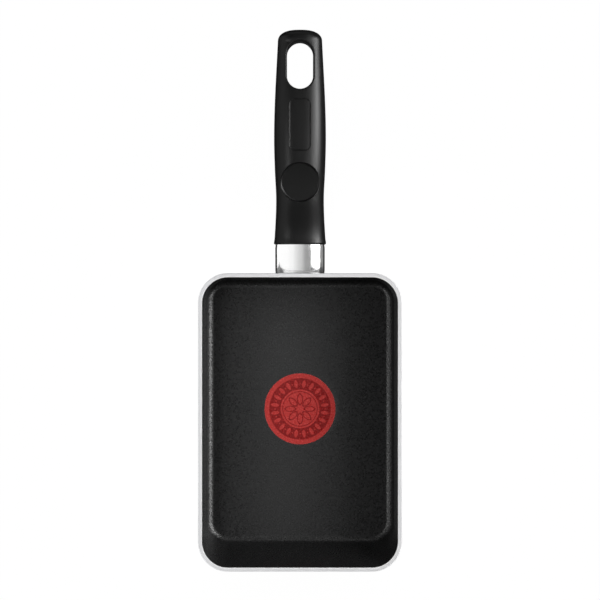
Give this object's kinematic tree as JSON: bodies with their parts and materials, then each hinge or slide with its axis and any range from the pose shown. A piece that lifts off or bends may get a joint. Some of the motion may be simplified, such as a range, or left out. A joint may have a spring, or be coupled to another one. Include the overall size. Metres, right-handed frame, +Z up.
{
  "type": "tamagoyaki pan",
  "caption": "Small rectangular rolled-omelette pan with near-upright walls, a slanted front wall, a polished sleeve and a long moulded handle with a thumb rest and a hanging eye.",
  "frame": {"origin": "on the resting face, under the middle of the pan's opening", "axes": "+Z up out of the pan; +Y from the slanted front wall towards the handle's tip; +X to the right as seen from above with the handle away from the viewer"},
  "size_m": [0.1266, 0.3337, 0.0633],
  "materials": {
    "bare_aluminium": "satin, turned rim and resting face",
    "cooking_coating": "satin non-stick with fine mineral flecks",
    "heat_spot": "satin print under the coating",
    "outside_coating": "satin enamel",
    "stud_aluminium": "as machined",
    "polished_steel": "polished stainless steel",
    "moulded_black": "satin phenolic moulding",
    "screw_steel": "zinc plated"
  },
  "bodies": {
    "root": {"pan_body": "bare_aluminium", "cooking_coating": "cooking_coating", "heat_spot": "heat_spot", "outside_coating": "outside_coating", "handle_stud": "stud_aluminium", "ferrule": "polished_steel", "handle": "moulded_black", "handle_screw": "screw_steel", "spring_washer": "screw_steel", "plain_washer": "screw_steel"}
  },
  "joints": []
}
